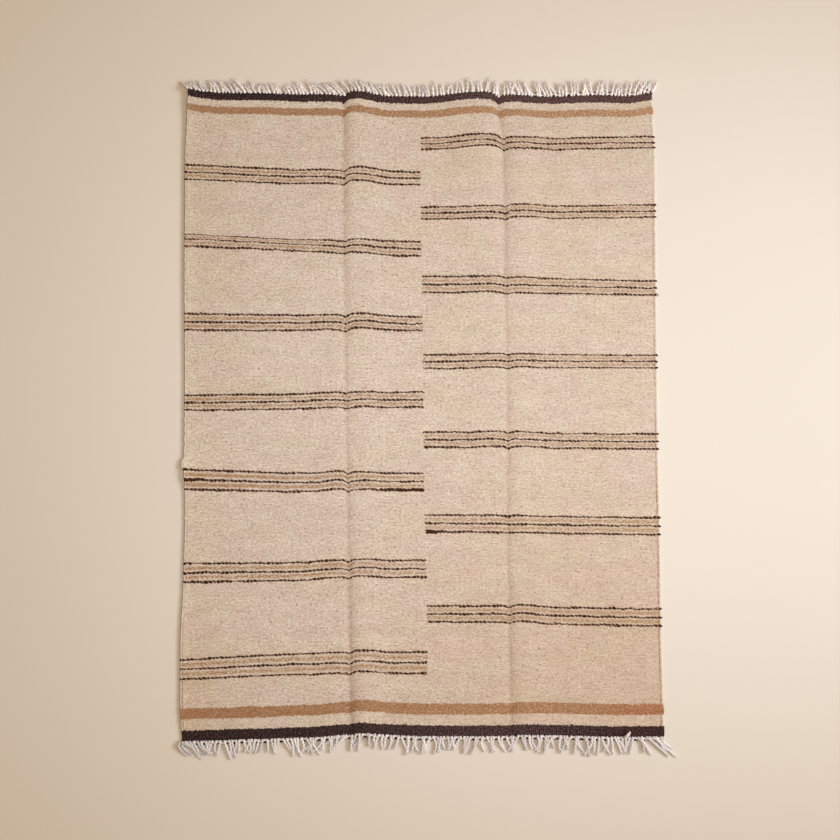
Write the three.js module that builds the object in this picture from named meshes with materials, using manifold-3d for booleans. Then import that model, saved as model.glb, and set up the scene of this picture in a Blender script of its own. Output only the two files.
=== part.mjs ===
// Flat-woven striped kilim laid out on a floor. It was stored folded in thirds, so two soft
// lengthwise creases still show, with low ridges beside them, and the wefts bow there. A short
// fringe of warp locks leaves each end through a narrow twined strip.
// Millimetres, +Z up, the length along Y, the floor at z = 0, the origin under the cloth's middle.
import * as THREE from "three";
import { mergeVertices } from "three/addons/utils/BufferGeometryUtils.js";
import Module from "manifold-3d";

const wasm = await Module();
wasm.setup();

// Driving dimensions
const WIDTH = 1150;
const LENGTH = 1560;
const THICKNESS = 3;
const PIECE_GAP = 0.3;

// Selvedges: how far each one stands outside the straight side, down the length
const SELVEDGES = [
  { y: 780, left: 1, right: -1 },
  { y: 610, left: 6, right: 5 },
  { y: 410, left: 4.5, right: 4 },
  { y: 20, left: -1.5, right: 2.5 },
  { y: -105, left: -2, right: 2.5 },
  { y: -270, left: -6, right: 4 },
  { y: -400, left: -4.5, right: 4 },
  { y: -540, left: 0, right: 4 },
  { y: -700, left: -1, right: 6 },
  { y: -780, left: -7, right: 6.5 },
];

// Ends: how far the last weft stands outside the straight end, across the width
const ENDS = [
  { x: -575, top: 13, bottom: 14 },
  { x: -535, top: 8, bottom: 13 },
  { x: -495, top: 5, bottom: 12 },
  { x: -400, top: 5, bottom: 9 },
  { x: -270, top: 1, bottom: 5 },
  { x: -150, top: -1, bottom: -3 },
  { x: 25, top: -4, bottom: 2 },
  { x: 110, top: -4, bottom: 2 },
  { x: 210, top: -2, bottom: 0 },
  { x: 320, top: -4, bottom: 0 },
  { x: 445, top: 0, bottom: 3 },
  { x: 510, top: -3, bottom: 3 },
  { x: 575, top: 6, bottom: 3 },
];

// Folds: where each crease runs and how far the wefts sag there, and the ridge on each side of it:
// its rise, the distance from the crease to its top, and how far its wefts bow towards +Y
const LEFT_FOLD = {
  crease: [
    { y: 780, x: -189.5, sag: 2.8 },
    { y: 570, x: -188.5, sag: 2.8 },
    { y: 390, x: -186, sag: 2.4 },
    { y: 195, x: -182, sag: 2.8 },
    { y: 5, x: -178.5, sag: 1.7 },
    { y: -190, x: -175, sag: 2.1 },
    { y: -400, x: -172.5, sag: 1.8 },
    { y: -630, x: -169, sag: 1.2 },
    { y: -780, x: -166, sag: 1.3 },
  ],
  left: [
    { y: 780, rise: 1.5, peak: 40, bow: 1.2 },
    { y: 570, rise: 1.2, peak: 40, bow: 1.3 },
    { y: 390, rise: 1.5, peak: 46, bow: 1.6 },
    { y: 195, rise: 1.5, peak: 36, bow: 2.6 },
    { y: 5, rise: 1.3, peak: 36, bow: 2.5 },
    { y: -190, rise: 1.3, peak: 34, bow: 4.8 },
    { y: -400, rise: 1.2, peak: 32, bow: 4.3 },
    { y: -780, rise: 1, peak: 30, bow: 0.2 },
  ],
  right: [
    { y: 780, rise: 5.6, peak: 32, bow: 9.2 },
    { y: 570, rise: 4, peak: 32, bow: 9.6 },
    { y: 390, rise: 2.5, peak: 34, bow: 3.8 },
    { y: 195, rise: 2, peak: 34, bow: 5.7 },
    { y: 5, rise: 1.6, peak: 32, bow: 1.4 },
    { y: -190, rise: 2, peak: 32, bow: 3.9 },
    { y: -400, rise: 3.4, peak: 32, bow: 4.6 },
    { y: -630, rise: 5.5, peak: 32, bow: 5.5 },
    { y: -780, rise: 6.2, peak: 32, bow: 3.5 },
  ],
};
const RIGHT_FOLD = {
  crease: [
    { y: 780, x: 193, sag: 3.7 },
    { y: 650, x: 209, sag: 3.4 },
    { y: 475, x: 210, sag: 2.6 },
    { y: 290, x: 213, sag: 2.4 },
    { y: 105, x: 213, sag: 1.2 },
    { y: -90, x: 213, sag: 1.8 },
    { y: -290, x: 212, sag: 1.2 },
    { y: -505, x: 213.5, sag: 1.3 },
    { y: -780, x: 217, sag: 0.9 },
  ],
  left: [
    { y: 780, rise: 6, peak: 56, bow: 9.8 },
    { y: 650, rise: 4.5, peak: 50, bow: 9.6 },
    { y: 475, rise: 2.4, peak: 44, bow: 3 },
    { y: 290, rise: 1.8, peak: 42, bow: 3.2 },
    { y: 105, rise: 1.3, peak: 36, bow: 2.5 },
    { y: -90, rise: 1.2, peak: 34, bow: 3.2 },
    { y: -290, rise: 1.1, peak: 34, bow: 0.7 },
    { y: -505, rise: 1, peak: 32, bow: 2.4 },
    { y: -780, rise: 1, peak: 32, bow: -0.8 },
  ],
  right: [
    { y: 780, rise: 3, peak: 34, bow: 2.1 },
    { y: 650, rise: 3.6, peak: 38, bow: 3.6 },
    { y: 475, rise: 2.3, peak: 38, bow: 5.2 },
    { y: 290, rise: 1.6, peak: 34, bow: 3.4 },
    { y: 105, rise: 1.7, peak: 32, bow: 2.4 },
    { y: -90, rise: 1.7, peak: 32, bow: 4.2 },
    { y: -290, rise: 1.6, peak: 32, bow: 0.8 },
    { y: -505, rise: 3.1, peak: 32, bow: 5.4 },
    { y: -780, rise: 4, peak: 32, bow: 1.9 },
  ],
};
const FOLDS = [LEFT_FOLD, RIGHT_FOLD];
const REACH_PER_PEAK = 3.4; // a ridge has died away at this many peak distances
const RISE_STEEPNESS = 3; // power of a ridge's steep side, next to the crease
const BOW_STEEPNESS = 4.5; // and of the bow of its wefts
const CREASE_ROUNDING = 3.5;
const SAG_SPREAD = 11;

// Lift of the left selvedge and of the top left corner off the floor, and how far in each reaches
const EDGE_LIFT = 3.4;
const EDGE_LIFT_SPREAD = 12;
const CORNER_LIFT = 9;
const CORNER_LIFT_SPREAD = 55;

// Grid of the cloth: evenly spaced rows, and columns packed beside the creases and the selvedges
const ROW_COUNT = 27;
const COLUMNS_BY_CREASE = [8, 18, 30, 44, 60, 80, 104, 148];
const COLUMN_BY_SELVEDGE = 20;
const SIDE_PANEL_COLUMNS = 5;

// Fringe: the strip lies outside the last weft, and the locks leave it in pairs
const STRIP_WIDTH = 5;
const BUNCH_COUNT = 63;
const LOCKS_PER_BUNCH = 2;
const LOCK_SPACING = 6.5;
const LOCK_WIDTH = 4.2;
const LOCK_HEIGHT = 2.5;
const TIP_SHARE = 0.6; // a lock's section at its tip, as a share of that at its root
const ROOT_LIFT = 0.25; // a root sits this far above the strip's underside
const ROOT_DEPTH = 3; // and this far inside the strip's outer edge
const CORNER_MARGIN = 7; // from a selvedge to the first lock
const LANDING = 0.6; // share of its length at which a lock from a raised edge is down
const LOCK_STATIONS = [0, 0.25, 0.6, 1];
const SEED = 58;

// Locks across each end: their lean in degrees towards +X, and how far they reach past the strip
const TOP_FRINGE = {
  outward: 1,
  leanSpread: 4,
  reachSpread: 3,
  locks: [
    { x: -575, lean: -44, reach: 20 },
    { x: -500, lean: -38, reach: 27 },
    { x: -430, lean: -36, reach: 26 },
    { x: -340, lean: -30, reach: 21 },
    { x: -270, lean: -30, reach: 26 },
    { x: -150, lean: -30, reach: 27 },
    { x: 0, lean: -18, reach: 29 },
    { x: 90, lean: 0, reach: 27 },
    { x: 200, lean: -8, reach: 30 },
    { x: 300, lean: -28, reach: 32 },
    { x: 430, lean: 0, reach: 32 },
    { x: 520, lean: 10, reach: 31 },
    { x: 575, lean: 34, reach: 30 },
  ],
};
const BOTTOM_FRINGE = {
  outward: -1,
  leanSpread: 3,
  reachSpread: 4,
  locks: [
    { x: -575, lean: 16, reach: 33 },
    { x: -490, lean: 12, reach: 35 },
    { x: -400, lean: -14, reach: 36 },
    { x: -330, lean: 6, reach: 36 },
    { x: -270, lean: -4, reach: 36 },
    { x: -180, lean: -28, reach: 35 },
    { x: -40, lean: 2, reach: 37 },
    { x: 90, lean: -12, reach: 36 },
    { x: 200, lean: 16, reach: 38 },
    { x: 310, lean: -6, reach: 39 },
    { x: 420, lean: 10, reach: 41 },
    { x: 500, lean: 6, reach: 41 },
    { x: 575, lean: 36, reach: 40 },
  ],
};

const { smoothstep, lerp, degToRad, seededRandom } = THREE.MathUtils;

// A table's column, eased between its rows
function eased(table, key, column, at) {
  const rising = table[0][key] < table[table.length - 1][key];
  const rows = rising ? table : [...table].reverse();
  if (at <= rows[0][key]) return rows[0][column];
  for (let i = 1; i < rows.length; i += 1) {
    const before = rows[i - 1];
    const after = rows[i];
    if (at <= after[key]) {
      return lerp(before[column], after[column], smoothstep(at, before[key], after[key]));
    }
  }
  return rows[rows.length - 1][column];
}

// Form of the cloth

// Rise of one ridge at a distance from its crease: a steep near side and a long far side
function ridge(distance, rise, peak, steepness) {
  const reach = peak * REACH_PER_PEAK;
  if (distance >= reach) return 0;
  if (distance >= peak) {
    return (rise / 2) * (1 + Math.cos((Math.PI * (distance - peak)) / (reach - peak)));
  }
  const run = Math.hypot(distance, CREASE_ROUNDING) - CREASE_ROUNDING;
  const fullRun = Math.hypot(peak, CREASE_ROUNDING) - CREASE_ROUNDING;
  return rise * (1 - (1 - run / fullRun) ** steepness);
}

// A fold's ridge shape in one of its columns, at a place
function ridgeAt(fold, column, steepness, x, y) {
  const offset = x - eased(fold.crease, "y", "x", y);
  const rows = offset < 0 ? fold.left : fold.right;
  return ridge(Math.abs(offset), eased(rows, "y", column, y), eased(rows, "y", "peak", y), steepness);
}

// Height of the cloth's underside over the floor
function liftAt(x, y) {
  const fromLeft = Math.max(0, x + WIDTH / 2);
  const fromCorner = Math.hypot(fromLeft, LENGTH / 2 - y);
  let lift = EDGE_LIFT * Math.exp(-fromLeft / EDGE_LIFT_SPREAD);
  lift += CORNER_LIFT * Math.exp(-fromCorner / CORNER_LIFT_SPREAD);
  for (const fold of FOLDS) {
    lift += ridgeAt(fold, "rise", RISE_STEEPNESS, x, y);
  }
  return lift;
}

// Sag of a weft towards -Y beside the creases, less its bow on the ridges
function dipAt(x, y) {
  let dip = 0;
  for (const fold of FOLDS) {
    const distance = Math.abs(x - eased(fold.crease, "y", "x", y));
    dip += eased(fold.crease, "y", "sag", y) * Math.exp(-distance / SAG_SPREAD);
    dip -= ridgeAt(fold, "bow", BOW_STEEPNESS, x, y);
  }
  return dip;
}

function endAt(x, side) {
  const outward = side === "top" ? 1 : -1;
  const straight = (outward * LENGTH) / 2;
  return straight + outward * eased(ENDS, "x", side, x) - dipAt(x, straight);
}

// Where the columns cross a row: even steps in the side panels, fixed steps beside creases and selvedges
function columnsAt(y) {
  const left = -WIDTH / 2 - eased(SELVEDGES, "y", "left", y);
  const right = WIDTH / 2 + eased(SELVEDGES, "y", "right", y);
  const creases = FOLDS.map((fold) => eased(fold.crease, "y", "x", y));
  const far = COLUMNS_BY_CREASE[COLUMNS_BY_CREASE.length - 1];
  const near = [...COLUMNS_BY_CREASE].reverse();
  const columns = [left];
  for (let i = 0; i < SIDE_PANEL_COLUMNS; i += 1) {
    columns.push(lerp(left + COLUMN_BY_SELVEDGE, creases[0] - far, i / SIDE_PANEL_COLUMNS));
  }
  for (const crease of creases) {
    columns.push(...near.map((step) => crease - step));
    columns.push(crease);
    columns.push(...COLUMNS_BY_CREASE.map((step) => crease + step));
  }
  for (let i = 1; i <= SIDE_PANEL_COLUMNS; i += 1) {
    columns.push(lerp(creases[1] + far, right - COLUMN_BY_SELVEDGE, i / SIDE_PANEL_COLUMNS));
  }
  columns.push(right);
  return columns;
}

// Underside points of one row of the grid
function rowAt(share) {
  const nominal = lerp(-LENGTH / 2, LENGTH / 2, share);
  return columnsAt(nominal).map((x) => {
    const y = lerp(endAt(x, "bottom"), endAt(x, "top"), share);
    return new THREE.Vector3(x, y, liftAt(x, nominal));
  });
}

// Closed meshes

function indexedGeometry(points, triangles) {
  const geometry = new THREE.BufferGeometry();
  geometry.setAttribute("position", new THREE.Float32BufferAttribute(points.flatMap((p) => p.toArray()), 3));
  geometry.setIndex(triangles.flat());
  return geometry;
}

// A sheet of even thickness over a grid of underside points, with walls round its rim
function sheetGeometry(rows) {
  const columnCount = rows[0].length;
  const layerSize = rows.length * columnCount;
  const under = rows.flat();
  const over = under.map((p) => new THREE.Vector3(p.x, p.y, p.z + THICKNESS));
  const at = (row, column, layer) => layer * layerSize + row * columnCount + column;
  const triangles = [];
  const addQuad = (a, b, c, d) => triangles.push([a, b, c], [a, c, d]);
  const lastRow = rows.length - 1;
  const lastColumn = columnCount - 1;
  for (let r = 0; r < lastRow; r += 1) {
    for (let c = 0; c < lastColumn; c += 1) {
      addQuad(at(r, c, 1), at(r, c + 1, 1), at(r + 1, c + 1, 1), at(r + 1, c, 1));
      addQuad(at(r, c, 0), at(r + 1, c, 0), at(r + 1, c + 1, 0), at(r, c + 1, 0));
    }
    addQuad(at(r, 0, 0), at(r, 0, 1), at(r + 1, 0, 1), at(r + 1, 0, 0));
    addQuad(at(r, lastColumn, 0), at(r + 1, lastColumn, 0), at(r + 1, lastColumn, 1), at(r, lastColumn, 1));
  }
  for (let c = 0; c < lastColumn; c += 1) {
    addQuad(at(0, c, 0), at(0, c + 1, 0), at(0, c + 1, 1), at(0, c, 1));
    addQuad(at(lastRow, c, 0), at(lastRow, c, 1), at(lastRow, c + 1, 1), at(lastRow, c + 1, 0));
  }
  return indexedGeometry([...under, ...over], triangles);
}

// A closed body through rings of equal size, each wound counterclockwise as seen along the run
function loftGeometry(rings) {
  const size = rings[0].length;
  const triangles = [];
  for (let r = 0; r < rings.length - 1; r += 1) {
    for (let i = 0; i < size; i += 1) {
      const a = r * size + i;
      const b = r * size + ((i + 1) % size);
      triangles.push([a, a + size, b + size], [a, b + size, b]);
    }
  }
  const lastRing = (rings.length - 1) * size;
  for (let i = 1; i < size - 1; i += 1) {
    triangles.push([0, i, i + 1], [lastRing, lastRing + i + 1, lastRing + i]);
  }
  return indexedGeometry(rings.flat(), triangles);
}

// Solids

function solidFrom(geometry) {
  const merged = mergeVertices(geometry);
  const vertProperties = new Float32Array(merged.attributes.position.array);
  const triVerts = new Uint32Array(merged.index.array);
  return new wasm.Manifold(new wasm.Mesh({ numProp: 3, vertProperties, triVerts }));
}

function geometryFrom(solid) {
  const mesh = solid.getMesh();
  const geometry = new THREE.BufferGeometry();
  geometry.setAttribute("position", new THREE.Float32BufferAttribute(mesh.vertProperties, 3));
  geometry.setIndex(new THREE.BufferAttribute(mesh.triVerts, 1));
  return geometry;
}

function clothGeometry() {
  const rows = [];
  for (let r = 0; r < ROW_COUNT; r += 1) {
    rows.push(rowAt(r / (ROW_COUNT - 1)));
  }
  return sheetGeometry(rows);
}

// The twined strip outside the last weft, rising and falling with it
function stripGeometry(fringe) {
  const edge = rowAt(fringe.outward > 0 ? 1 : 0);
  const rings = edge.map((p) => {
    const inner = p.y + fringe.outward * PIECE_GAP;
    const outer = inner + fringe.outward * STRIP_WIDTH;
    const [low, high] = inner < outer ? [inner, outer] : [outer, inner];
    return [
      new THREE.Vector3(p.x, low, p.z),
      new THREE.Vector3(p.x, low, p.z + THICKNESS),
      new THREE.Vector3(p.x, high, p.z + THICKNESS),
      new THREE.Vector3(p.x, high, p.z),
    ];
  });
  return loftGeometry(rings);
}

// The point of an end's edge at a place across the width
function pointOnEdge(edge, x) {
  const after = Math.max(1, edge.findIndex((p) => p.x >= x));
  const from = edge[after - 1];
  const to = edge[after];
  return from.clone().lerp(to, (x - from.x) / (to.x - from.x));
}

// One lock: a three-sided yarn bundle from inside the strip down to the floor
function lockGeometry(outward, edgePoint, lean, reach) {
  const rootX = edgePoint.x;
  const rootY = edgePoint.y + outward * (PIECE_GAP + STRIP_WIDTH - ROOT_DEPTH);
  const rootLift = edgePoint.z + ROOT_LIFT;
  const run = new THREE.Vector2(Math.tan(degToRad(lean)), outward).multiplyScalar(ROOT_DEPTH + reach);
  const across = new THREE.Vector2(run.y, -run.x).normalize();
  const rings = LOCK_STATIONS.map((t) => {
    const size = lerp(1, TIP_SHARE, t);
    const half = (LOCK_WIDTH / 2) * size;
    const x = rootX + run.x * t;
    const y = rootY + run.y * t;
    const z = rootLift * (1 - smoothstep(t, 0, LANDING));
    return [
      new THREE.Vector3(x + across.x * half, y + across.y * half, z),
      new THREE.Vector3(x, y, z + LOCK_HEIGHT * size),
      new THREE.Vector3(x - across.x * half, y - across.y * half, z),
    ];
  });
  return loftGeometry(rings);
}

// A strip with its locks in pairs, all one body
function fringeGeometry(fringe) {
  const spread = (amount) => amount * (2 * seededRandom() - 1);
  const edge = rowAt(fringe.outward > 0 ? 1 : 0);
  const first = edge[0].x + CORNER_MARGIN;
  const last = edge[edge.length - 1].x - CORNER_MARGIN;
  const inset = ((LOCKS_PER_BUNCH - 1) * LOCK_SPACING) / 2;
  let solid = solidFrom(stripGeometry(fringe));
  for (let bunch = 0; bunch < BUNCH_COUNT; bunch += 1) {
    const middle = lerp(first + inset, last - inset, bunch / (BUNCH_COUNT - 1));
    const lean = eased(fringe.locks, "x", "lean", middle) + spread(fringe.leanSpread);
    for (let lock = 0; lock < LOCKS_PER_BUNCH; lock += 1) {
      const rootX = middle - inset + lock * LOCK_SPACING;
      const reach = eased(fringe.locks, "x", "reach", rootX) + spread(fringe.reachSpread);
      const lockShape = lockGeometry(fringe.outward, pointOnEdge(edge, rootX), lean, reach);
      solid = solid.add(solidFrom(lockShape));
    }
  }
  return geometryFrom(solid);
}

// The object

const wool = new THREE.MeshStandardMaterial({ color: 0xd6bfa4, roughness: 0.95, metalness: 0 });
const warp = new THREE.MeshStandardMaterial({ color: 0xcdbfb0, roughness: 0.9, metalness: 0 });

function namedMesh(name, geometry, material) {
  const mesh = new THREE.Mesh(geometry, material);
  mesh.name = name;
  return mesh;
}

seededRandom(SEED);
const kilim = new THREE.Group();
kilim.add(namedMesh("cloth", clothGeometry(), wool));
kilim.add(namedMesh("fringe_top", fringeGeometry(TOP_FRINGE), warp));
kilim.add(namedMesh("fringe_bottom", fringeGeometry(BOTTOM_FRINGE), warp));

export default kilim;
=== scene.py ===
import math

import bpy
import numpy as np
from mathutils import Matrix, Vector


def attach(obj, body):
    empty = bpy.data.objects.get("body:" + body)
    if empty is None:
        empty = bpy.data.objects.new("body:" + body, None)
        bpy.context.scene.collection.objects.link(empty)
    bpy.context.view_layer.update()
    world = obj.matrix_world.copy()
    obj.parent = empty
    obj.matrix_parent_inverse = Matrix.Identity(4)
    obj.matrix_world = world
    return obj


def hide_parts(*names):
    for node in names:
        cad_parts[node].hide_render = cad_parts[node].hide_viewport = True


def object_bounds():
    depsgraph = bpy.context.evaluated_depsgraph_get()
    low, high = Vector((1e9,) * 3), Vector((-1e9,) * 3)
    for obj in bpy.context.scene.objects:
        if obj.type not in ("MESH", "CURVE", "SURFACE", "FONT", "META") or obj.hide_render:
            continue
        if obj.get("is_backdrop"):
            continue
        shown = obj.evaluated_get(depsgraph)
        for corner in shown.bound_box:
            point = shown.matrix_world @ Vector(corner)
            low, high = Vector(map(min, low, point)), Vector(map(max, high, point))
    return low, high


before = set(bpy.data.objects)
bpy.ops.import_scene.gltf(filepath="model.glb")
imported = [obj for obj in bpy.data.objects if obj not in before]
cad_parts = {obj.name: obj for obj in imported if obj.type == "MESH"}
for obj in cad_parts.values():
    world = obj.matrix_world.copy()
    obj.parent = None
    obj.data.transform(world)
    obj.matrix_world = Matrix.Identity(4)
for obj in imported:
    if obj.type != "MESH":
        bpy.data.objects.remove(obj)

# A flat-woven striped kilim on a pale floor, seen from almost straight above.
# The cloth, its folds and its fringe are worked out in millimetres, in the frame of the solids,
# and turned into metres when a mesh is made.


class Row(dict):
    """Named values that are read like attributes."""

    __getattr__ = dict.__getitem__


def table(columns, *rows):
    """Rows of values under named columns."""
    return [Row(zip(columns.split(), row)) for row in rows]


def named(columns, **rows):
    """Rows of values under named columns, each row with a name of its own."""
    return Row(zip(rows, table(columns, *rows.values())))


CAD_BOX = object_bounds()
MM = 0.001
BODY = "root"
UPWARD = (0, 0, 1)
TINY = 1e-9
SEEDS = Row(selvedge=73, wave=74, pucker=75, chain=77, header=79, top=83, bottom=93, turns=103)

# Cloth
WIDTH = 1150
LENGTH = 1560
THICKNESS = 3
RIM_RADIUS = THICKNESS / 2

# Selvedges: how far each one stands outside the straight side, down the length
SELVEDGES = table(
    "y left right",
    (780, -2, -1),
    (735, 2, 1),
    (610, 6, 5),
    (410, 4.5, 4),
    (20, -1.5, 2.5),
    (-107, -2, 2.5),
    (-134, 5.5, 2.5),
    (-146, -2, 3),
    (-160, -4.5, 3),
    (-270, -6, 4),
    (-400, -4.5, 4),
    (-540, 0, 4),
    (-700, -1, 6),
    (-780, -7, 6.5),
)

# Ends: how far the last weft stands outside the straight end, across the width
ENDS = table(
    "x top bottom",
    (-575, 13, 14),
    (-535, 8, 13),
    (-495, 5, 12),
    (-400, 5, 9),
    (-270, 1, 5),
    (-150, -1, -3),
    (25, -4, 2),
    (110, -4, 2),
    (210, -2, 0),
    (320, -4, 0),
    (445, 0, 3),
    (510, -3, 3),
    (575, 6, 3),
)

# Folds: where each crease runs and how far the wefts sag there, and the ridge on each side of it:
# its rise, the distance from the crease to its top, and how far its wefts bow towards +Y.
# A column is eased over the rows that give it
FOLD_COLUMNS = "y crease sag left_rise left_peak left_bow right_rise right_peak right_bow"
LEFT_FOLD = table(
    FOLD_COLUMNS,
    (780, -189.5, 2.8, 1.5, 40, 1.2, 5.6, 32, 9.2),
    (570, -188.5, 2.8, 1.2, 40, 1.3, 4, 37, 9.6),
    (390, -186, 2.9, 1.5, 46, -0.6, 2.5, 34, 3.8),
    (195, -182, 2.8, 1.5, 36, 2.6, 2, 38, 6.6),
    (5, -178.5, 1.1, 1.3, 36, 2.5, 1.6, 32, 3.2),
    (-190, -175, 2.1, 1.3, 24, 5.6, 2, 32, 3.9),
    (-400, -172.5, 0.9, 1.2, 32, 4.3, 3.4, 32, 6.2),
    (-630, -169, 0.9, None, None, None, 5.5, 32, 7.2),
    (-780, -166, 1.3, 1, 30, 0.2, 6.2, 32, 3.5),
)
RIGHT_FOLD = table(
    FOLD_COLUMNS,
    (780, 193, 3.7, 6, 56, 9.8, 3, 34, 2.1),
    (650, 205.5, 3.4, 4.5, 50, 9.6, 3.6, 38, 3.6),
    (475, 209, 2.6, 2.4, 44, 2, 2.3, 38, 5.2),
    (290, 210, 2.4, 1.8, 42, 3.2, 1.6, 34, 1.6),
    (105, 213, 1.2, 1.3, 36, 2.5, 1.7, 32, 2.4),
    (-90, 213, 1.8, 1.2, 34, 3.2, 1.7, 32, 4.2),
    (-290, 212, 1.2, 1.1, 34, 0.7, 1.6, 32, 0.8),
    (-505, 213.5, 1.3, 1, 32, 2.4, 3.1, 32, 5.4),
    (-780, 217, 0.9, 1, 32, -0.8, 4, 32, 1.9),
)
FOLDS = [LEFT_FOLD, RIGHT_FOLD]
REACH_PER_PEAK = 3.4
RISE_STEEPNESS = 3
BOW_STEEPNESS = 4.5
CREASE_ROUNDING = 3.5
SAG_SPREAD = 11
# Painted shade along each crease: its width, and how far it darkens the colour at the crease
FOLD_SHADE_WIDTH = 4.5
FOLD_SHADE = 0.15

# Lift of the left selvedge and of the top left corner off the floor
EDGE_LIFT = 3.4
EDGE_LIFT_SPREAD = 12
CORNER_LIFT = 9
CORNER_LIFT_SPREAD = 55
BULGE = Row(y=-160, lift=8, across=15, along=22)  # a short stretch of the left selvedge that lifts more

# Grid of the cloth: steps beside the creases, beside the rim, and elsewhere
CREASE_STEPS = [1.5, 4, 7, 11, 16, 22, 29, 37, 46, 57, 70, 85, 102, 124, 148]
RIM_STEPS = [0, 0.3, 0.8, 1.5, 3.5, 7]
PANEL_STEP = 11
ROW_STEP = 5.6

# Small unevenness of the cloth: its waves, flat near the rim, its puckers, and its bumpy selvedges
WAVE_HEIGHT = 0.5
WAVE_PITCHES = (210, 150)
WAVE_MARGIN = 40
PUCKER_HEIGHT = 0.25
PUCKER_PITCHES = (26, 18)
SELVEDGE_BUMP = 1.2
SELVEDGE_PITCH = 13
SELVEDGE_SPREAD = 6
SELVEDGE_SWELL = 0.4

# Stripe groups: height of the middle line at the outer edge, mid-panel and centre of its half,
# the distance from the middle line to the outer ones, and how much tan shows between the lines
STRIPE_COLUMNS = "edge middle centre edge_gap centre_gap edge_tan centre_tan"
STRIPES = Row(
    left=table(
        STRIPE_COLUMNS,
        (585, 574, 570, 18, 16, 0.8, 0.4),
        (414.5, 403.5, 394, 14.5, 18, 0.9, 0.5),
        (213, 211, 209, 20, 17, 0.9, 0.5),
        (15, 18, 23, 18, 18, 0.8, 0.6),
        (-171, -178, -176, 24, 20, 1.7, 0.5),
        (-395, -392, -385, 22, 20, 0.9, 0.6),
        (-624, -612, -608, 23, 25, 0.75, 0.6),
    ),
    right=table(
        STRIPE_COLUMNS,
        (660, 656, 657, 14, 14, 0.5, 0.6),
        (488, 485, 483, 15, 15, 0.6, 0.5),
        (297, 302, 306, 17, 20, 0.6, 0.5),
        (116, 117, 116, 15, 17, 0.6, 0.5),
        (-79, -77, -74, 18, 18, 0.65, 0.55),
        (-283, -280, -276, 20, 20, 0.7, 0.6),
        (-501, -497, -492, 20, 19, 1, 0.6),
    ),
)
# A group that is narrower in its middle and whose middle line lies high
STRIPES.left[1].update(middle_gap=13.5, edge_skew=4.5, middle_skew=3.2, centre_skew=0)
STATIONS = Row(
    left=Row(edge=-560, middle=-320, centre=-25),
    right=Row(edge=540, middle=330, centre=24),
)
# Stretches of a group whose lines are browner or darker: the tone of the upper, middle and lower line
LINE_TONES = table(
    "half group start end upper middle lower",
    ("left", 0, -600, -470, 0.85, 0.8, 0.85),
    ("left", 1, -660, -220, 0.55, 0.5, 1.1),
    ("left", 2, -640, -460, 1.1, 1.3, 1.1),
    ("left", 3, -640, -460, 1.1, 1.2, 1),
    ("left", 4, -640, -420, 1.15, 1.35, 1.35),
    ("left", 5, -640, -420, 1.1, 1.3, 1.35),
    ("left", 6, -640, -420, 1.2, 1.05, 1),
    ("right", 0, 10, 560, 1, 0.75, 1),
    ("right", 1, 240, 600, 0.8, 0.85, 0.8),
    ("right", 2, 240, 600, 0.85, 0.85, 1),
    ("right", 3, 240, 600, 0.75, 0.75, 0.75),
    ("right", 4, 240, 600, 0.95, 1, 1),
    ("right", 5, 240, 600, 0.95, 0.95, 0.9),
    ("right", 6, -40, 640, 1.1, 1.05, 1.05),
)
TONE_EASE = 60
GROUP_HALF = 0.1  # a group's half width in the coordinate that counts groups
HALFWAY = 0.5  # between two counted groups or lines
OUTER_GAPS = 5  # from the first and the last group to where the count ends
BREAK = table("y x", (600, 1), (0, 7), (-610, 17))  # where the two halves' stripes end
# Lines that end in a thick bundle: where it starts, where it is full, and how much thicker it is
BLOBS = table(
    "half group line start full extra",
    ("left", 4, -1, -130, 0, 2.9),
    ("left", 4, 0, -470, -560, 1.5),
    ("right", 5, -1, 66, 18, 3.0),
)

# Bands at the ends, in order from the edge
TOP_BANDS = Row(dark=19, cream=17, tan=18)
BOTTOM_BANDS = Row(dark=26, cream=26, tan=26)

# Dark wefts that turn round the selvedge, and one that turns wide: half, group and line
TURN = Row(radius=1.2, rings=9, outs=(-0.6, 0.6), shift=0.6, depth=4, climb=0.8, scatter=0.8)
LOOSE_TURN = Row(at=("right", 2, -1), out=4, climb=9 / math.pi, radius=0.7)

# Weave
WARP_PITCH = 5
PICK_PITCH = 2.2
RELIEF = Row(over=0.25, pick=0.35, band_rib=0.06)

# Dark lines: half their thickness, and what the dashes add to it or take from their cover and depth,
# how far their tone thins them, the depth of a bundle, and how far the dashes step up and down
DASHES = Row(reach=2, dash_reach=0.6, dash_cover=0.22, dash_depth=0.6)
DASHES.update(tone_reach=0.63, bundle_depth=0.85, wobble=0.55)
LAST_LINE = 2

# Tan between the lines: half its full part, and how far it reaches in the left and right half, in gaps
TAN_CORE = 1
TAN_REACHES = (0.31, 0.36)

# Selvedge thread and pale rim, at the left and right edge; the pale rim is partly the selvedge's own pale
# colour and partly painted light
THREAD_INSETS = (6, 7.4)
THREAD_DOTS = 0.7
PALE_CORE = 1.5
PALE_REACHES = (5, 6.5)
PALE_SHARES = (0.55, 0.75)

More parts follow.
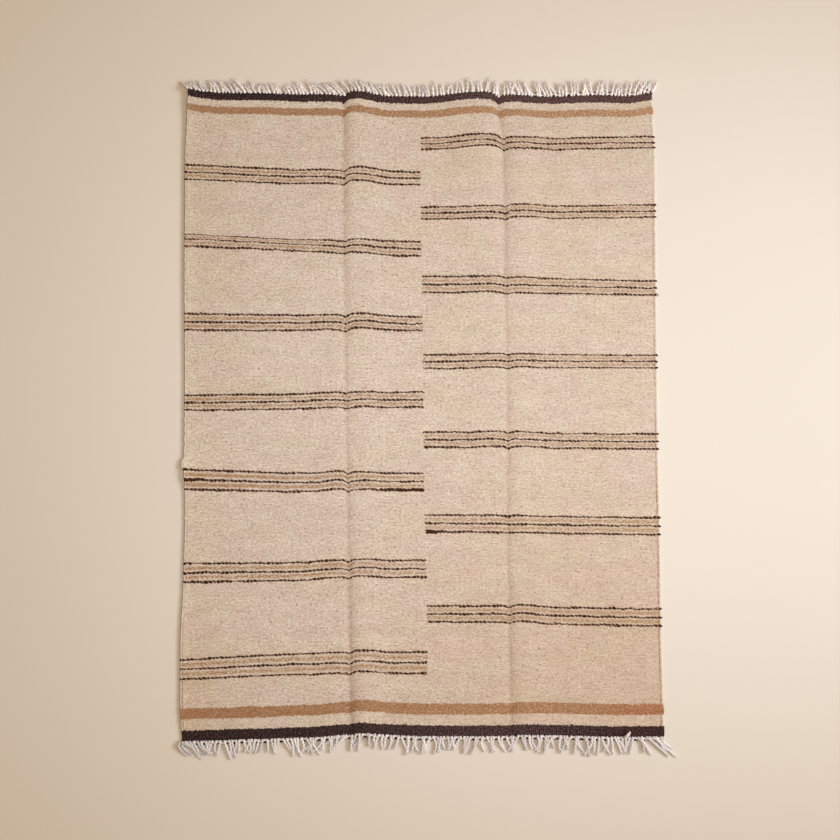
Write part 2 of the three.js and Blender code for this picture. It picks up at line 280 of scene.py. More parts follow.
# Noises of the weave: width and height of their features, the layer that they are cut from, their detail,
# how far they change what they act on, and their roughness where it is not the usual one
NOISE_MIDDLE = 0.5
ROUGHNESS = 0.5
NOISES = named(
    "width height layer detail amount roughness",
    pink=(150, 60, 3, 2),
    yellow=(190, 80, 9, 1),
    streak=(30, 4.2, 5, 2, 0.45, 0.6),
    # cloud: soft patches of painted shade, standing in for small puckers
    cloud=(60, 34, 25, 1, 0.22),
    lot=(700, 26, 6, 2, 0.14),
    hair=(26, 2.6, 12, 1, 0.26),
    fleck=(6, 4.6, 21, 0, 0.45),
    grain=(6.5, 3.9, 0, 2.5, 1.3, 0.65),
    ends=(1, 6, 2, 1, 12),
    slow=(45, 9, 4, 2, 6.5),
    quick=(13, 9, 7, 1, 3),
    jitter=(17, 9, 15, 1, 1.6),
    joined=(24, 9, 30, 2),
    swell=(19, 9, 33, 2, 3),
    lump=(14, 7, 36, 1),
    mark=(6, 3.4, 18, 2),
    warmth=(140, 10 / 17, 19, 1),
    waver=(16, 30, 40, 2, 5),
    tooth=(4, 9, 43, 1, 9),
    drift=(130, 22, 46, 1, 3),
    thread_dot=(9, 1, 60, 2),
    thread_stretch=(90, 1, 63, 1),
    speck=(5, 4, 70, 2, 1, 0.6),
    rust=(30, 12, 73, 2, 1, 0.6),
    lumps=(7, 3, 50, 3, 1.4, 0.6),
)

# Smooth changes: from the least at the low end to the most at the high end, or from 0 to 1
SPANS = named(
    "low high least most",
    rightward=(-450, 450),
    downward=(-650, 100, 1, 0),
    pink=(0.4, 0.65),
    yellow=(0.45, 0.7),
    margin=(-600, -360, 1, 0),
    upper_margin=(-100, 150),
    lower_margin=(-680, -430, 1, 0),
    ground_grain=(-60, 300, 1.46, 1.22),
    hair=(0.6, 0.74),
    fleck=(0.7, 0.8),
    dash=(-0.9, 0.1),
    joined=(0.36, 0.47),
    joined_reach=(0, 1, 0.62, 1),
    joined_depth=(0, 1, 0.3, 1),
    lump=(0.3, 0.7, 0.6, 1.25),
    tip=(0, 12, 0.4, 1),
    core=(-0.7, 0.7, 1, 0),
    halo=(0, 3, 0.18, 0),
    bundle=(0, 1.6),
    mark=(0.4, 0.62),
    mark_strength=(0, 1, 0.3, 2.1),
    warmth=(0.25, 0.7),
    warmth_strength=(0, 1, 0.7, 1.15),
    dark_end=(-0.8, 0.8, 1, 0),
    tan_start=(-0.9, 0.9),
    tan_end=(-0.9, 0.9, 1, 0),
    thread=(0.7, 2.4, 1, 0),
    thread_dot=(0.36, 0.55),
    thread_stretch=(0.35, 0.55, 0.4, 1),
    left_thread=(-620, -480, 0.85, 0.3),
    right_thread=(-300, 100, 1),
    right_thread_top=(480, 580, 0.65, 0.2),
    # painted shade on the rim of the left edge
    shaded_rim=(0.6, 2.4, 0.85, 0),
    worn=(120, 520, 1),
    worn_along=(-600, 600, 0.3, 1),
    faded=(-520, 420, 0),
    faded_along=(-600, 600, 0.12, 0.175),
    rust=(0.3, 0.65),
    rust_along=(-700, 700, 1, 0.35),
    tan_speck=(0.48, 0.78),
    dark_speck=(0.44, 0.8),
    stripe_tan=(-60, 60),
    corner_across=(380, 540),
    corner_along=(-650, -500, 1, 0),
    yarn_speck=(0.42, 0.7),
    yarn_tint=(0, 1, 0.6, 1),
)

# Fringe
BUNCH_COUNT = 63
YARNS_PER_BUNCH = 2
ROOT_INSET = 1.5
ROOT_SINK = 0.5
ROOT_SCATTER = 1.2
CORNER_MARGIN = 6
LEAN_LIMIT = 50
CLUMP_PITCHES = (32, 64)  # least and greatest distance between the clumps that yarns lie in
YARN_RINGS = 14
YARN_SIDES = 6
SWAY_TURNS = (0.8, 1.6)
BEND_POWERS = (1.0, 1.5)
HUMP_LIMIT = 2.5
FALL_START = 0.05  # where a yarn starts to come down to the floor, as a share of its length
FALL_RUN = 0.6
PLY_COUNT = 2
PLY_SIZES = (0.85, 1.15)
PLY_PARTING = 0.7
FRAY_END = 1.05
TIP_THINNING = 0.5
FIBRE_RINGS = 5
FIBRE_SIDES = 3
FIBRE_STARTS = (0, 0.75)
FIBRE_LENGTHS = (0.25, 0.55)
FIBRE_BACK = -1
FIBRE_RISES = (-1, 2)
FAN_POWER = 1.3
CHAIN = Row(margin=5, step=1.5, clearance=0.3, rise=0.8, winding=0.9, twist=0.55)
CHAIN.update(uneven=0.7, uneven_arches=3)
# Dark wefts beyond the last row; the rows past the first are partly a dark stand-in for the shade between
# the bunches
HEADER = Row(rows=4, radius=1.7, spacing=2.55, margin=1.5, step=3, inset=0.5, clearance=0.2)
HEADER.update(uneven=0.3, pitch=9, tint=0.3, row_tint=0.4)
TOP_FRINGE = Row(
    outward=1,
    spacing=9,
    lean_spread=9,
    pair_spread=8,
    reach_spread=6,
    sway=1.6,
    gather=0.06,
    ply_radius=1.85,
    ply_offset=1.5,
    twist_pitch=24,
    fray=0.2,
    ply_share=0.9,
    fibres=28,
    fibre_radius=0.38,
    fibre_spread=4.8,
    fibre_reach=6,
    tints=(0.95, 2.3),
    # painted shade on the yarns towards the left end: how much it takes off their tint, and how far it
    # spreads
    dulling=Row(loss=0.55, spread=600),
    chain=Row(start=265, out=7, arch=4.5, radius=1.2, tint=1.1),
    lay=table(
        "x lean reach",
        (-575, -44, 22),
        (-500, -38, 29),
        (-430, -36, 28),
        (-340, -30, 22),
        (-270, -30, 28),
        (-150, -30, 29),
        (0, -18, 31),
        (90, 0, 28),
        (200, -8, 32),
        (300, -28, 34),
        (430, 0, 34),
        (520, 10, 33),
        (575, 34, 32),
    ),
)
BOTTOM_FRINGE = Row(
    outward=-1,
    spacing=8,
    lean_spread=13,
    pair_spread=11,
    reach_spread=9,
    sway=3.0,
    gather=0.45,
    ply_radius=2.0,
    ply_offset=1.4,
    twist_pitch=17,
    fray=0.6,
    ply_share=1,
    fibres=22,
    fibre_radius=0.24,
    fibre_spread=3.6,
    fibre_reach=2,
    tints=(-0.2, 0.9),
    # painted shade on the yarns towards the left end: how much it takes off their tint, and how far it
    # spreads
    dulling=Row(loss=0.7, spread=120),
    chain=Row(start=-600, out=6, arch=5, radius=1.5, tint=0.8),
    lay=table(
        "x lean reach",
        (-575, 14, 33),
        (-490, 10, 35),
        (-400, -16, 36),
        (-330, 8, 35),
        (-270, -4, 35),
        (-180, -30, 34),
        (-40, 2, 36),
        (90, -12, 35),
        (200, 16, 37),
        (310, -6, 38),
        (420, 10, 40),
        (500, 6, 41),
        (575, 38, 40),
    ),
)

# Yarns that stray from their row: root, bend and tip, as steps across and outward from the edge
STRAYS = table(
    "root bend tip height",
    (487, (3, -5), (12, -13), 6),
    (-566, (-8, 11), (12, 33), 3),
    (-559, (-5, 12), (18, 32), 3),
    (570, (10, 12), (30, 28), 3),
)

# Floor, a little under the cloth, and lamps: place, aim and size in metres, spread in degrees
FLOOR_HALF = 12000
FLOOR_HEIGHT = -0.4
LAMPS = named(
    "kind place aim size power colour angle",
    key=("SPOT", (5.0, 0.15, 3.2), (0.6, 0.07, 0.0), 1.2, 1790, (0.667, 0.80, 1.0), 46),
    overhead=("AREA", (0.3, 0.05, 2.5), (0.3, 0.05, 0.0), 1.2, 26, (0.71, 0.83, 1.0)),
    middle=("SPOT", (0.04, -0.18, 2.5), (0.04, -0.18, 0.0), 0.5, 30, (0.72, 0.83, 1.0), 40),
)
SURROUND = (0.424, 0.312, 0.15)

# Camera: the point of the floor in the middle of the picture, and the view onto it
VIEW_CENTRE = (-1.0, -26.5)
VIEW_DISTANCE = 2269
VIEW_TILT = 3.3
LENS = 40
SENSOR = 36

# Colours, linear
CREAMS = Row(
    top_left=(0.673, 0.533, 0.407),
    top_right=(0.657, 0.506, 0.367),
    bottom_left=(0.665, 0.519, 0.392),
    bottom_right=(0.620, 0.450, 0.311),
)
PINK_TINT = (1.02, 0.985, 1.03)
YELLOW_TINT = (0.99, 0.99, 0.952)
UPPER_MARGIN_TINT = (0.955, 0.955, 0.94)
LOWER_MARGIN_TINT = (0.97, 0.925, 0.885)
MARGIN_TINT = (1.0, 0.99, 0.96)
GRAIN_TINT = (0.79, 1.06, 1.14)  # how far each part of a wool colour follows its grain
CHARCOAL = (0.037, 0.0105, 0.0045)
BROWN = (0.165, 0.06, 0.021)
BAND_DARK = (0.022, 0.0115, 0.0105)
BAND_FLECK = (0.14, 0.071, 0.061)
TAN = (0.372, 0.203, 0.104)
TAN_LIGHT = (0.605, 0.35, 0.198)
RUST = (0.35, 0.157, 0.069)
STRIPE_TAN = (0.39, 0.2, 0.085)
STRIPE_TAN_RIGHT = (0.42, 0.235, 0.12)
CORNER_TINT = (1.03, 0.86, 0.8)
SELVEDGE_BROWN = (0.36, 0.2, 0.095)
SELVEDGE_PALE = (0.78, 0.66, 0.53)
COTTON = (0.785, 0.685, 0.62)
FLOOR = (0.74, 0.62, 0.50)

# Finishes, the specks of a metre, and how far specks and tints change a colour
FINISHES = named(
    "roughness specular sheen relief",
    wool=(0.95, 0.1, 0.03, 0.9),
    dark_wool=(0.95, 0.1, 0, 0.4),
    cotton=(0.9, 0.15, 0.4, 0.3),
    floor=(0.9, 0.1, 0),
)
SPECKS = Row(dark_wool=300, cotton=600, floor=1.3)
COTTON_SPECK = 0.35
COTTON_TINT = Row(base=0.86, per_tint=0.22)
FLOOR_CLOUD = 0.04


def smooth(share):
    share = np.clip(share, 0, 1)
    return share * share * (3 - 2 * share)


def eased(rows, key, column, at):
    """A table's column, eased between the rows that give it."""
    rows = sorted((row for row in rows if row[column] is not None), key=lambda row: row[key])
    keys = np.array([row[key] for row in rows], float)
    values = np.array([row[column] for row in rows], float)
    place = np.clip(np.searchsorted(keys, at, side="right") - 1, 0, len(keys) - 2)
    share = (at - keys[place]) / (keys[place + 1] - keys[place])
    return values[place] + (values[place + 1] - values[place]) * smooth(share)


def ripple(x, y, pitch_x, pitch_y, seed, waves=7):
    """Smooth uneven waves between about -1 and 1, of the given pitches."""
    rng = np.random.default_rng(seed)
    total = np.zeros_like(x, dtype=float)
    for _ in range(waves):
        turn_x, turn_y = rng.uniform(-1, 1, 2)
        phase = rng.uniform(0, 2 * math.pi)
        total += np.sin(2 * math.pi * (turn_x * x / pitch_x + turn_y * y / pitch_y) + phase)
    return total / math.sqrt(2 * waves)


# Form of the cloth


def ridge(distance, rise, peak, steepness=RISE_STEEPNESS):
    """Rise of one ridge at a distance from its crease: a steep near side and a long far side."""
    reach = peak * REACH_PER_PEAK
    run = np.hypot(distance, CREASE_ROUNDING) - CREASE_ROUNDING
    full_run = np.hypot(peak, CREASE_ROUNDING) - CREASE_ROUNDING
    near = 1 - (1 - np.clip(run / full_run, 0, 1)) ** steepness
    far = (1 + np.cos(math.pi * np.clip((distance - peak) / (reach - peak), 0, 1))) / 2
    return rise * np.where(distance < peak, near, far)


def crease_at(fold, y):
    return eased(fold, "y", "crease", y)


def beside(fold, column, offset, y):
    """A ridge's column on the side of the crease that each place is on."""
    left = eased(fold, "y", f"left_{column}", y)
    right = eased(fold, "y", f"right_{column}", y)
    return np.where(offset < 0, left, right)


def lift_at(x, y):
    """Height of the cloth's underside over the floor."""
    lift = np.zeros_like(x, dtype=float)
    for fold in FOLDS:
        offset = x - crease_at(fold, y)
        peak = beside(fold, "peak", offset, y)
        lift += ridge(np.abs(offset), beside(fold, "rise", offset, y), peak)
    from_left = x + WIDTH / 2
    from_corner = np.hypot(from_left, LENGTH / 2 - y)
    lift += EDGE_LIFT * np.exp(-np.clip(from_left, 0, None) / EDGE_LIFT_SPREAD)
    lift += CORNER_LIFT * np.exp(-from_corner / CORNER_LIFT_SPREAD)
    along_bulge = ((y - BULGE.y) / BULGE.along) ** 2
    lift += BULGE.lift * np.exp(-np.clip(from_left, 0, None) / BULGE.across - along_bulge)
    return lift


def dip_at(x, y):
    """Sag of a weft towards -Y beside the creases, less its bow on the ridges."""
    dip = np.zeros_like(x, dtype=float)
    for fold in FOLDS:
        offset = x - crease_at(fold, y)
        dip += eased(fold, "y", "sag", y) * np.exp(-np.abs(offset) / SAG_SPREAD)
        peak = beside(fold, "peak", offset, y)
        dip -= ridge(np.abs(offset), beside(fold, "bow", offset, y), peak, BOW_STEEPNESS)
    return dip


def end_at(x, outward):
    """The straight or bowed line of an end, without its sag beside the creases."""
    side = "top" if outward > 0 else "bottom"
    return outward * (LENGTH / 2 + eased(ENDS, "x", side, x))


def column_places(y):
    """Where the grid's columns cross a row."""
    left = -WIDTH / 2 - eased(SELVEDGES, "y", "left", y)
    right = WIDTH / 2 + eased(SELVEDGES, "y", "right", y)
    creases = [crease_at(fold, y) for fold in FOLDS]
    far = CREASE_STEPS[-1]
    rim = RIM_STEPS[-1]
    first, second = (fold[0].crease for fold in FOLDS)
    side_count = round((WIDTH / 2 + first - far - rim) / PANEL_STEP)
    middle_count = round((second - first - 2 * far) / PANEL_STEP)
    places = [left + step for step in RIM_STEPS]
    places += list(np.linspace(left + rim, creases[0] - far, side_count + 1)[1:-1])
    for index, crease in enumerate(creases):
        places += [crease - step for step in reversed(CREASE_STEPS)]
        places += [crease]
        places += [crease + step for step in CREASE_STEPS]
        if index == 0:
            places += list(np.linspace(crease + far, creases[1] - far, middle_count + 1)[1:-1])
    places += list(np.linspace(creases[1] + far, right - rim, side_count + 1)[1:-1])
    places += [right - step for step in reversed(RIM_STEPS)]
    return np.array(places)


def row_places():
    """Heights of the grid's rows on a straight cloth."""
    rim = RIM_STEPS[-1]
    count = round((LENGTH - 2 * rim) / ROW_STEP)
    middle = np.linspace(-LENGTH / 2 + rim, LENGTH / 2 - rim, count + 1)[1:-1]
    low = [-LENGTH / 2 + step for step in RIM_STEPS]
    high = [LENGTH / 2 - step for step in reversed(RIM_STEPS)]
    return np.concatenate([low, middle, high])


def cloth_grid():
    """Arrays over the grid: place, straight height, lift and distances to the rim."""
    rows = row_places()
    x = np.array([column_places(y) for y in rows])
    nominal = np.repeat(rows[:, None], x.shape[1], axis=1)
    share = (nominal + LENGTH / 2) / LENGTH
    straight = end_at(x, -1) * (1 - share) + end_at(x, 1) * share
    from_side = np.minimum(x - x[:, :1], x[:, -1:] - x)
    from_top = end_at(x, 1) - straight
    from_bottom = straight - end_at(x, -1)
    return Row(
        x=x,
        nominal=nominal,
        straight=straight,
        y=straight - dip_at(x, nominal),
        lift=lift_at(x, nominal),
        from_side=from_side,
        from_top=from_top,
        from_bottom=from_bottom,
    )


def cloth_layers(grid):
    """Upper and lower points of the sheet, meeting in a round rim, with its small unevenness."""
    x, y = grid.x, grid.y
    rim = np.minimum(grid.from_side, np.minimum(grid.from_top, grid.from_bottom))
    inner = np.clip(rim / RIM_RADIUS, 0, 1)
    half = THICKNESS / 2 * np.sqrt(1 - (1 - inner) ** 2)
    near_side = np.exp(-((grid.from_side / SELVEDGE_SPREAD) ** 2))
    bump = near_side * ripple(0 * x, y, SELVEDGE_PITCH, SELVEDGE_PITCH, SEEDS.selvedge)
    wave = 1 + ripple(x, y, *WAVE_PITCHES, SEEDS.wave)
    wave = WAVE_HEIGHT * np.maximum(wave, 0) * np.clip(rim / WAVE_MARGIN, 0, 1)
    pucker = PUCKER_HEIGHT * ripple(x, y, *PUCKER_PITCHES, SEEDS.pucker)
    middle = grid.lift + THICKNESS / 2 + wave
    moved = x + np.sign(x) * SELVEDGE_BUMP * bump
    face = half + (pucker + SELVEDGE_SWELL * near_side) * inner
    upper = np.stack([moved, y, middle + face], axis=-1)
    lower = np.stack([moved, y, middle - half], axis=-1)
    return upper, lower


# Coordinates that the weave's colours follow


def stripe_column(half, group, name, x):
    """A column given at some stations of a half, at every x; zero for a group without it."""
    stations = STATIONS[half]
    given = sorted((end for end in stations if f"{end}_{name}" in group), key=stations.get)
    if not given:
        return np.zeros_like(x)
    return np.interp(x, [stations[end] for end in given], [group[f"{end}_{name}"] for end in given])


def stripe_lines(half, x):
    """For each group of a half, at every x: its height, its gap and its middle line's shift."""
    stations = STATIONS[half]
    names = sorted(stations, key=stations.get)
    places = [stations[name] for name in names]
    lines = []
    for group in STRIPES[half]:
        middle = np.interp(x, places, [group[name] for name in names])
        lines.append((middle, stripe_column(half, group, "gap", x), stripe_column(half, group, "skew", x)))
    return lines


def group_coordinate(half, x, y):
    """A coordinate that counts the groups of a half from the top, with the nearest group's gap and tan."""
    lines = stripe_lines(half, x)
    knots = []
    for index, (middle, gap, skew) in enumerate(lines):
        for share in (2, 1, 0, -1, -2):
            height = middle + share * gap + (share == 0) * skew
            knots.append((height, index - share * GROUP_HALF))
    first, last = lines[0], lines[-1]
    knots.insert(0, (first[0] + OUTER_GAPS * first[1], -HALFWAY))
    knots.append((last[0] - OUTER_GAPS * last[1], len(lines) - 1 + HALFWAY))
    coordinate = np.where(y > knots[0][0], knots[0][1], knots[-1][1])
    for (high, at_high), (low, at_low) in zip(knots[:-1], knots[1:]):
        share = (high - y) / (high - low)
        inside = (share >= 0) & (share <= 1)
        coordinate = np.where(inside, at_high + (at_low - at_high) * share, coordinate)
    nearest = np.clip(np.round(coordinate), 0, len(lines) - 1)
    gap = np.zeros_like(x)
    tan = np.zeros_like(x)
    for index, (_, group_gap, _) in enumerate(lines):
        gap = np.where(nearest == index, group_gap, gap)
        tan = np.where(nearest == index, stripe_column(half, STRIPES[half][index], "tan", x), tan)
    return coordinate, gap, tan


def blob_thickness(x, y):
    """Extra thickness of the lines that end in a thick bundle."""
    extra = np.zeros_like(x)
    for blob in BLOBS:
        middle, gap, _ = stripe_lines(blob.half, x)[blob.group]
        near = np.abs(y - (middle + blob.line * gap)) < gap / 2
        share = smooth((x - blob.start) / (blob.full - blob.start))
        extra = np.maximum(extra, blob.extra * share * near)
    return extra


def line_tones(x, coordinates):
    """How dark the upper, middle and lower lines of the nearest group are."""
    tones = np.ones((*x.shape, 3))
    for stretch in LINE_TONES:
        near = np.round(coordinates[stretch.half]) == stretch.group
        inside = smooth((x - stretch.start) / TONE_EASE) * smooth((stretch.end - x) / TONE_EASE)
        loss = 1 - np.array([stretch.upper, stretch.middle, stretch.lower])
        tones -= (near * inside)[..., None] * loss
    return tones


def crease_distance(x, y):
    return np.min([np.abs(x - crease_at(fold, y)) for fold in FOLDS], axis=0)


def weave_attributes(grid):
    """Vectors that the cloth's material reads, in millimetres or counted groups."""
    x, straight, nominal = grid.x, grid.straight, grid.nominal
    left, left_gap, left_tan = group_coordinate("left", x, straight)
    right, right_gap, right_tan = group_coordinate("right", x, straight)
    past_break = x - eased(BREAK, "y", "x", nominal)
    # painted shade along the creases, strongest on the crease line
    painted_crease_shade = np.exp(-((crease_distance(x, nominal) / FOLD_SHADE_WIDTH) ** 2))
    return dict(
        weave=np.stack([x, straight, painted_crease_shade], axis=-1),
        groups=np.stack([left, right, past_break], axis=-1),
        gaps=np.stack([left_gap, right_gap, blob_thickness(x, straight)], axis=-1),
        rims=np.stack([grid.from_top, grid.from_bottom, grid.from_side], axis=-1),
        tones=line_tones(x, dict(left=left, right=right)),
        tans=np.stack([left_tan, right_tan, 0 * x], axis=-1),
    )


# Meshes


def new_object(name, points, faces, attributes=None):
    """An object from points in millimetres and faces, with vector attributes on its points."""
    mesh = bpy.data.meshes.new(name)
    mesh.from_pydata((np.asarray(points) * MM).tolist(), [], faces)
    for key, values in (attributes or {}).items():
        layer = mesh.attributes.new(key, "FLOAT_VECTOR", "POINT")
        layer.data.foreach_set("vector", np.asarray(values, np.float32).ravel())
    mesh.polygons.foreach_set("use_smooth", np.ones(len(mesh.polygons), bool))
    mesh.update()
    obj = bpy.data.objects.new(name, mesh)
    bpy.context.collection.objects.link(obj)
    return obj


def make_cloth():
    grid = cloth_grid()
    upper, lower = cloth_layers(grid)
    row_count, column_count = grid.x.shape
    upper_index = np.arange(row_count * column_count).reshape(row_count, column_count)
    lower_index = upper_index.copy()
    inner = (slice(1, -1), slice(1, -1))
    inner_count = lower_index[inner].size
    lower_index[inner] = upper_index.size + np.arange(inner_count).reshape(lower_index[inner].shape)

    def quads(index, turned):
        corners = [index[:-1, :-1], index[:-1, 1:], index[1:, 1:], index[1:, :-1]]
        if turned:
            corners.reverse()
        return np.stack(corners, axis=-1).reshape(-1, 4)

    faces = np.concatenate([quads(upper_index, False), quads(lower_index, True)])
    points = np.concatenate([upper.reshape(-1, 3), lower[inner].reshape(-1, 3)])
    attributes = {}
    for key, values in weave_attributes(grid).items():
        attributes[key] = np.concatenate([values.reshape(-1, 3), values[inner].reshape(-1, 3)])
    return new_object("kilim_cloth", points, faces.tolist(), attributes)


def unit(vectors):
    return vectors / (np.linalg.norm(vectors, axis=1, keepdims=True) + TINY)


def path_axes(path):
    """Two directions square to a path at each of its points, the second one upward."""
    along = unit(np.gradient(path, axis=0))
    across = unit(np.cross(along, UPWARD))
    return across, np.cross(across, along)


class Tubes:
    """Many closed tubes gathered into one mesh."""

    def __init__(self):
        self.points = []
        self.faces = []
        self.tints = []
        self.count = 0

    def add(self, path, radii, sides, tint):
        """A tube along a path, with a tint of its own."""
        radii = np.broadcast_to(radii, len(path))[:, None, None]
        across, upward = path_axes(path)
        turn = np.arange(sides)[None, :, None] * 2 * math.pi / sides
        rings = path[:, None] + radii * (np.cos(turn) * across[:, None] + np.sin(turn) * upward[:, None])
        index = self.count + np.arange(len(path) * sides).reshape(len(path), sides)
        following = np.roll(index, -1, axis=1)
        quads = np.stack([index[:-1], following[:-1], following[1:], index[1:]], axis=-1)
        self.faces += quads.reshape(-1, 4).tolist()
        self.faces.append(index[0][::-1].tolist())
        self.faces.append(index[-1].tolist())
        self.points.append(rings.reshape(-1, 3))
        self.tints.append(np.full((index.size, 3), tint))
        self.count += index.size

    def build(self, name):
        attributes = dict(yarn=np.concatenate(self.tints))
        return new_object(name, np.concatenate(self.points), self.faces, attributes)


def twisted(path, offset, phase, pitch):
    """A path that winds round another one."""
    run = np.concatenate([[0], np.cumsum(np.linalg.norm(np.diff(path, axis=0), axis=1))])
    across, upward = path_axes(path)
    turn = (2 * math.pi * run / pitch + phase)[:, None]
    offset = np.broadcast_to(offset, len(path))[:, None]
    return path + offset * (np.cos(turn) * across + np.sin(turn) * upward)


def edge_at(x, outward):
    """The place along Y of an end's edge at some x, and its lift over the floor."""
    x = np.atleast_1d(np.asarray(x, float))
    end = np.full_like(x, outward * LENGTH / 2)
    return end_at(x, outward) - dip_at(x, end), lift_at(x, end)


def yarn_path(fringe, root_x, lean, reach, pull, rng):
    """From the cloth's edge down to the floor and out along it, pulled aside at the tip."""
    outward = fringe.outward
    edge_y, lift = edge_at(root_x, outward)
    share = np.linspace(0, 1, YARN_RINGS)
    sway = rng.normal(0, fringe.sway)
    sway_turns = rng.uniform(*SWAY_TURNS)
    tip_x = math.tan(math.radians(lean)) * reach + pull
    bend = share ** rng.uniform(*BEND_POWERS)
    x = root_x + tip_x * bend + sway * np.sin(math.pi * sway_turns * share)
    y = edge_y + outward * ((reach + ROOT_INSET) * share - ROOT_INSET)
    rest = fringe.ply_radius + fringe.ply_offset
    hump = rng.uniform(0, HUMP_LIMIT) * np.sin(math.pi * share) ** 2
    fall = 1 - smooth((share - FALL_START) / FALL_RUN)
    z = rest + (lift + THICKNESS - ROOT_SINK) * fall + hump
    return np.stack([x, y, z], axis=-1)


def stray_path(stray, fringe):
    """A curve through a stray yarn's root, bend and tip."""
    outward = fringe.outward
    edge_y, lift = edge_at(stray.root, outward)
    share = np.linspace(0, 1, YARN_RINGS)
    to_bend = 4 * share * (1 - share)
    to_tip = share * (2 * share - 1)
    aside, out = (to_bend * bend + to_tip * tip for bend, tip in zip(stray.bend, stray.tip))
    rest = fringe.ply_radius + fringe.ply_offset
    z = rest + np.where(out < 0, lift + THICKNESS, 0) + stray.height * np.sin(math.pi * share)
    return np.stack([stray.root + aside, edge_y + outward * out, z], axis=-1)


def add_yarn(tubes, fringe, path, rng):
    """Two plies that part and thin out towards the tip, with loose fibres."""
    share = np.linspace(0, 1, len(path))
    frayed = smooth((share - fringe.fray) / (FRAY_END - fringe.fray))
    radii = fringe.ply_radius * (1 - TIP_THINNING * frayed) * rng.uniform(*PLY_SIZES)
    offset = fringe.ply_offset * (1 + PLY_PARTING * frayed)
    phase = rng.uniform(0, 2 * math.pi)
    from_left = path[0][0] + WIDTH / 2
    # painted shade: the yarns darker towards the left end
    dulling = fringe.dulling
    painted_shade_loss = dulling.loss * math.exp(-((from_left / dulling.spread) ** 2))
    tint = rng.uniform(*fringe.tints) - painted_shade_loss
    kept = share <= fringe.ply_share
    for ply in range(PLY_COUNT):
        wound = twisted(path, offset, phase + ply * 2 * math.pi / PLY_COUNT, fringe.twist_pitch)
        wound[:, 2] = np.maximum(wound[:, 2], radii)
        tubes.add(wound[kept], radii[kept], YARN_SIDES, tint)
    for _ in range(fringe.fibres):
        add_fibre(tubes, fringe, path, tint, rng)


def add_fibre(tubes, fringe, path, tint, rng):
    """A loose fibre that leaves a yarn along its way and drifts aside."""
    share = np.linspace(0, 1, len(path))
    start = rng.uniform(*FIBRE_STARTS)
    places = np.linspace(start, min(1.0, start + rng.uniform(*FIBRE_LENGTHS)), FIBRE_RINGS)
    fibre = np.stack([np.interp(places, share, path[:, k]) for k in range(3)], axis=-1)
    fan = np.linspace(0, 1, FIBRE_RINGS)[:, None] ** FAN_POWER
    aside = rng.normal(0, fringe.fibre_spread)
    outward = fringe.outward * rng.uniform(FIBRE_BACK, fringe.fibre_reach)
    fibre = fibre + fan * np.array([aside, outward, rng.uniform(*FIBRE_RISES)])
    radii = fringe.fibre_radius * (1 - TIP_THINNING * fan[:, 0])
    fibre[:, 2] = np.maximum(fibre[:, 2], radii)
    tubes.add(fibre, radii, FIBRE_SIDES, tint)


def bunch_roots(outward):
    """Where the bunches of an end hang."""
    places = column_places(np.array(outward * LENGTH / 2))
    return np.linspace(places[0] + CORNER_MARGIN, places[-1] - CORNER_MARGIN, BUNCH_COUNT)


def make_fringe(name, fringe, seed, strays=()):
    """Yarns in pairs along an end's edge."""
    rng = np.random.default_rng(seed)
    tubes = Tubes()
    roots = bunch_roots(fringe.outward)
    clumps = np.cumsum(rng.uniform(*CLUMP_PITCHES, len(roots))) + roots[0]
    for root in roots:
        bunch_lean = eased(fringe.lay, "x", "lean", root) + rng.normal(0, fringe.lean_spread)
        for yarn in range(YARNS_PER_BUNCH):
            aside = (yarn - (YARNS_PER_BUNCH - 1) / 2) * fringe.spacing
            root_x = root + aside + rng.normal(0, ROOT_SCATTER)
            lean = np.clip(bunch_lean + rng.normal(0, fringe.pair_spread), -LEAN_LIMIT, LEAN_LIMIT)
            reach = eased(fringe.lay, "x", "reach", root_x) + rng.normal(0, fringe.reach_spread / 2)
            pull = fringe.gather * (clumps[np.argmin(np.abs(clumps - root_x))] - root_x)
            add_yarn(tubes, fringe, yarn_path(fringe, root_x, lean, reach, pull, rng), rng)
    for stray in strays:
        add_yarn(tubes, fringe, stray_path(stray, fringe), rng)
    add_chain(tubes, fringe, roots)
    return tubes.build(name)


def add_chain(tubes, fringe, roots):
    """The twined pair that arches from bunch to bunch along the last weft."""
    chain, outward = fringe.chain, fringe.outward
    pitch = roots[1] - roots[0]
    start = max(roots[0] - CHAIN.margin, chain.start)
    x = np.arange(start, roots[-1] + CHAIN.margin, CHAIN.step)
    edge_y, lift = edge_at(x, outward)
    arch = np.abs(np.sin(math.pi * (x - roots[0]) / pitch))
    uneven = CHAIN.uneven * ripple(x, 0 * x, CHAIN.uneven_arches * pitch, 1, SEEDS.chain)
    y = edge_y + outward * (chain.out - chain.arch * arch + uneven)
    z = lift + THICKNESS + CHAIN.clearance + CHAIN.rise * arch
    path = np.stack([x, y, z], axis=-1)
    for ply in range(PLY_COUNT):
        phase = ply * 2 * math.pi / PLY_COUNT
        wound = twisted(path, chain.radius * CHAIN.winding, phase, pitch * CHAIN.twist)
        tubes.add(wound, chain.radius, YARN_SIDES, chain.tint)


def make_header(name, fringe):
    """Dark wefts packed beyond the last row of an end; those past the first, only under the chain, are
    partly a dark stand-in for the shade between the bunches.
    """
    tubes = Tubes()
    outward, radius = fringe.outward, HEADER.radius
    places = column_places(np.array(outward * LENGTH / 2))
    for row in range(HEADER.rows):
        start = places[0] + HEADER.margin
        if row:
            start = max(start, fringe.chain.start)
        x = np.arange(start, places[-1] - HEADER.margin, HEADER.step)
        edge_y, lift = edge_at(x, outward)
        uneven = HEADER.uneven * ripple(x, 0 * x, HEADER.pitch, 1, SEEDS.header + row)
        y = edge_y + outward * (HEADER.spacing * row - HEADER.inset + uneven)
        path = np.stack([x, y, lift + radius + HEADER.clearance], axis=-1)
        tubes.add(path, radius + uneven / 2, YARN_SIDES, HEADER.tint + HEADER.row_tint * row)
    return tubes.build(name)


